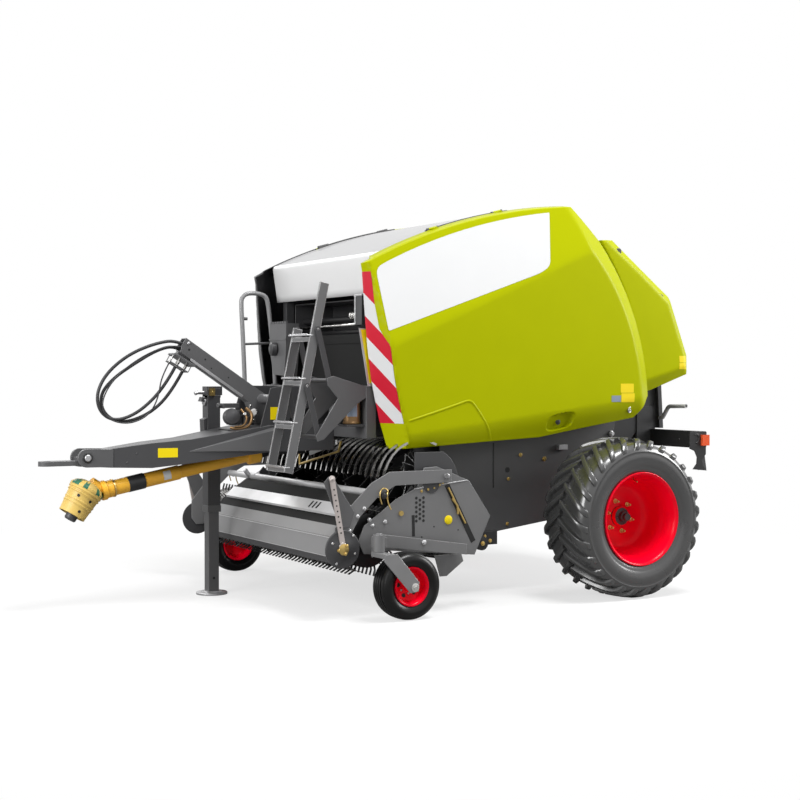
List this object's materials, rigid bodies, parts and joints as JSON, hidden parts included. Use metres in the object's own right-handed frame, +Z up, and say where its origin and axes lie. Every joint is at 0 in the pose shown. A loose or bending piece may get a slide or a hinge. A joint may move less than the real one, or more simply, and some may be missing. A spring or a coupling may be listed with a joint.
{
  "type": "round baler",
  "caption": "Towed fixed-chamber round baler with drawbar, pickup on gauge wheels, opening side doors, lid and tailgate, folding ladder and parking jack.",
  "frame": {"origin": "on the ground, at the middle of the bounding box's base", "axes": "+X forward in the direction of travel, +Y to the machine's left, +Z up"},
  "size_m": [4.47, 2.814, 2.631],
  "materials": {
    "green_panel": "satin green gel coat",
    "white_panel": "satin white",
    "grey_frame": "dark grey paint",
    "black_steel": "black paint",
    "light_metal": "galvanised",
    "worn_steel": "polished by crop",
    "tyre": "matt rubber",
    "red_rim": "red paint",
    "yellow_guard": "yellow guard tube",
    "black_guard": "black guard cone",
    "hose_rubber": "matt hose rubber",
    "coupling_steel": "plated",
    "lamp_red": "clear orange lens",
    "grey_box": "grey paint",
    "canister_black": "black plastic"
  },
  "bodies": {
    "frame": {"axle_beam": "grey_frame", "chamber_wall_left": "grey_frame", "chamber_wall_right": "grey_frame", "side_plate_left": "grey_frame", "side_plate_right": "grey_frame", "drawbar": "grey_frame", "front_frame": "grey_frame", "top_frame": "grey_frame", "feed_trough": "grey_frame", "auger_trough_left": "grey_frame", "auger_trough_right": "grey_frame", "front_rollers": "worn_steel", "gearbox": "black_steel", "pto_shaft": "yellow_guard", "pto_yoke": "black_guard", "hitch_eye": "worn_steel", "jack_sleeve": "grey_frame", "hose_arm": "grey_frame", "hose_couplings": "coupling_steel", "hose_left": "hose_rubber", "hose_right": "hose_rubber", "hose_cable": "hose_rubber", "handrail": "light_metal", "net_housing": "grey_frame", "net_shafts": "black_steel", "top_panel": "white_panel", "control_box": "grey_box", "oil_canister": "canister_black"},
    "door_left": {"door_left": "green_panel"},
    "door_right": {"door_right": "green_panel"},
    "tailgate": {"tailgate_frame": "grey_frame", "tailgate_cover_left": "green_panel", "tailgate_cover_right": "green_panel", "tailgate_rollers": "worn_steel", "light_bar": "black_steel", "tail_lamps": "lamp_red", "rear_handle": "light_metal"},
    "lid": {"lid": "white_panel"},
    "pickup": {"pickup_side_left": "grey_frame", "pickup_side_right": "grey_frame", "pickup_frame": "grey_frame", "pickup_bands": "worn_steel"},
    "windguard": {"windguard": "grey_frame"},
    "reel": {"pickup_reel": "worn_steel"},
    "rotor": {"feed_rotor": "worn_steel"},
    "caster_left": {"caster_left": "grey_frame"},
    "caster_right": {"caster_right": "grey_frame"},
    "gauge_wheel_left": {"gauge_rim_left": "red_rim", "gauge_tyre_left": "tyre"},
    "gauge_wheel_right": {"gauge_rim_right": "red_rim", "gauge_tyre_right": "tyre"},
    "wheel_left": {"main_rim_left": "red_rim", "main_tyre_left": "tyre"},
    "wheel_right": {"main_rim_right": "red_rim", "main_tyre_right": "tyre"},
    "link_lower": {"ladder_link_lower": "grey_frame"},
    "link_upper": {"ladder_link_upper": "grey_frame"},
    "ladder": {"ladder": "light_metal"},
    "jack_leg": {"jack_leg": "light_metal"}
  },
  "joints": [
    {"name": "door_left_hinge", "type": "hinge", "parent": "frame", "child": "door_left", "pos_m": [-0.385, 0.762, 2.495], "axis": [0.966, 0, -0.2585], "range_deg": [0, 60]},
    {"name": "door_right_hinge", "type": "hinge", "parent": "frame", "child": "door_right", "pos_m": [-0.385, -0.762, 2.495], "axis": [-0.966, 0, 0.2585], "range_deg": [0, 60]},
    {"name": "tailgate_hinge", "type": "hinge", "parent": "frame", "child": "tailgate", "pos_m": [-1.405, 0, 2.4], "axis": [0, 1, 0], "range_deg": [0, 60]},
    {"name": "lid_hinge", "type": "hinge", "parent": "frame", "child": "lid", "pos_m": [-0.756, 0, 2.56955], "axis": [0, -1, 0], "range_deg": [0, 55]},
    {"name": "pickup_lift", "type": "hinge", "parent": "frame", "child": "pickup", "pos_m": [0.08, 0, 0.8], "axis": [0, -1, 0], "range_deg": [0, 10]},
    {"name": "windguard_lift", "type": "hinge", "parent": "pickup", "child": "windguard", "pos_m": [-0.015, 0, 0.845], "axis": [0, -1, 0], "range_deg": [0, 12]},
    {"name": "reel_spin", "type": "hinge", "parent": "pickup", "child": "reel", "pos_m": [0.5, 0, 0.46], "axis": [0, 1, 0], "continuous": true},
    {"name": "rotor_spin", "type": "hinge", "parent": "frame", "child": "rotor", "pos_m": [0.08, 0, 0.8], "axis": [0, 1, 0], "continuous": true},
    {"name": "caster_left_swivel", "type": "hinge", "parent": "pickup", "child": "caster_left", "pos_m": [0.532, 1.225, 0.46], "axis": [0, 0, 1], "range_deg": [-20, 20]},
    {"name": "caster_right_swivel", "type": "hinge", "parent": "pickup", "child": "caster_right", "pos_m": [0.532, -1.225, 0.46], "axis": [0, 0, 1], "range_deg": [-20, 20]},
    {"name": "gauge_wheel_left_spin", "type": "hinge", "parent": "caster_left", "child": "gauge_wheel_left", "pos_m": [0.36, 1.257, 0.205], "axis": [0, 1, 0], "continuous": true},
    {"name": "gauge_wheel_right_spin", "type": "hinge", "parent": "caster_right", "child": "gauge_wheel_right", "pos_m": [0.36, -1.257, 0.205], "axis": [0, 1, 0], "continuous": true},
    {"name": "wheel_left_spin", "type": "hinge", "parent": "frame", "child": "wheel_left", "pos_m": [-1.367, 1.185, 0.53], "axis": [0, 1, 0], "continuous": true},
    {"name": "wheel_right_spin", "type": "hinge", "parent": "frame", "child": "wheel_right", "pos_m": [-1.367, -1.185, 0.53], "axis": [0, 1, 0], "continuous": true},
    {"name": "link_lower_swing", "type": "hinge", "parent": "frame", "child": "link_lower", "pos_m": [0.69, 0, 1.09], "axis": [0, 1, 0], "range_deg": [0, 95]},
    {"name": "ladder_swing", "type": "hinge", "parent": "link_lower", "child": "ladder", "pos_m": [0.77008, 0, 1.41117], "axis": [0, 1, 0], "range_deg": [-95, 0]},
    {"name": "link_upper_swing", "type": "hinge", "parent": "frame", "child": "link_upper", "pos_m": [0.614, 0, 1.443], "axis": [0, 1, 0], "range_deg": [0, 95]},
    {"name": "jack_slide", "type": "slide", "parent": "frame", "child": "jack_leg", "axis": [0, 0, 1], "range_m": [0, 0.4]}
  ],
  "couplings": [
    {"joint": "ladder_swing", "follows": "link_lower_swing", "ratio": -1},
    {"joint": "link_upper_swing", "follows": "link_lower_swing", "ratio": 1}
  ]
}
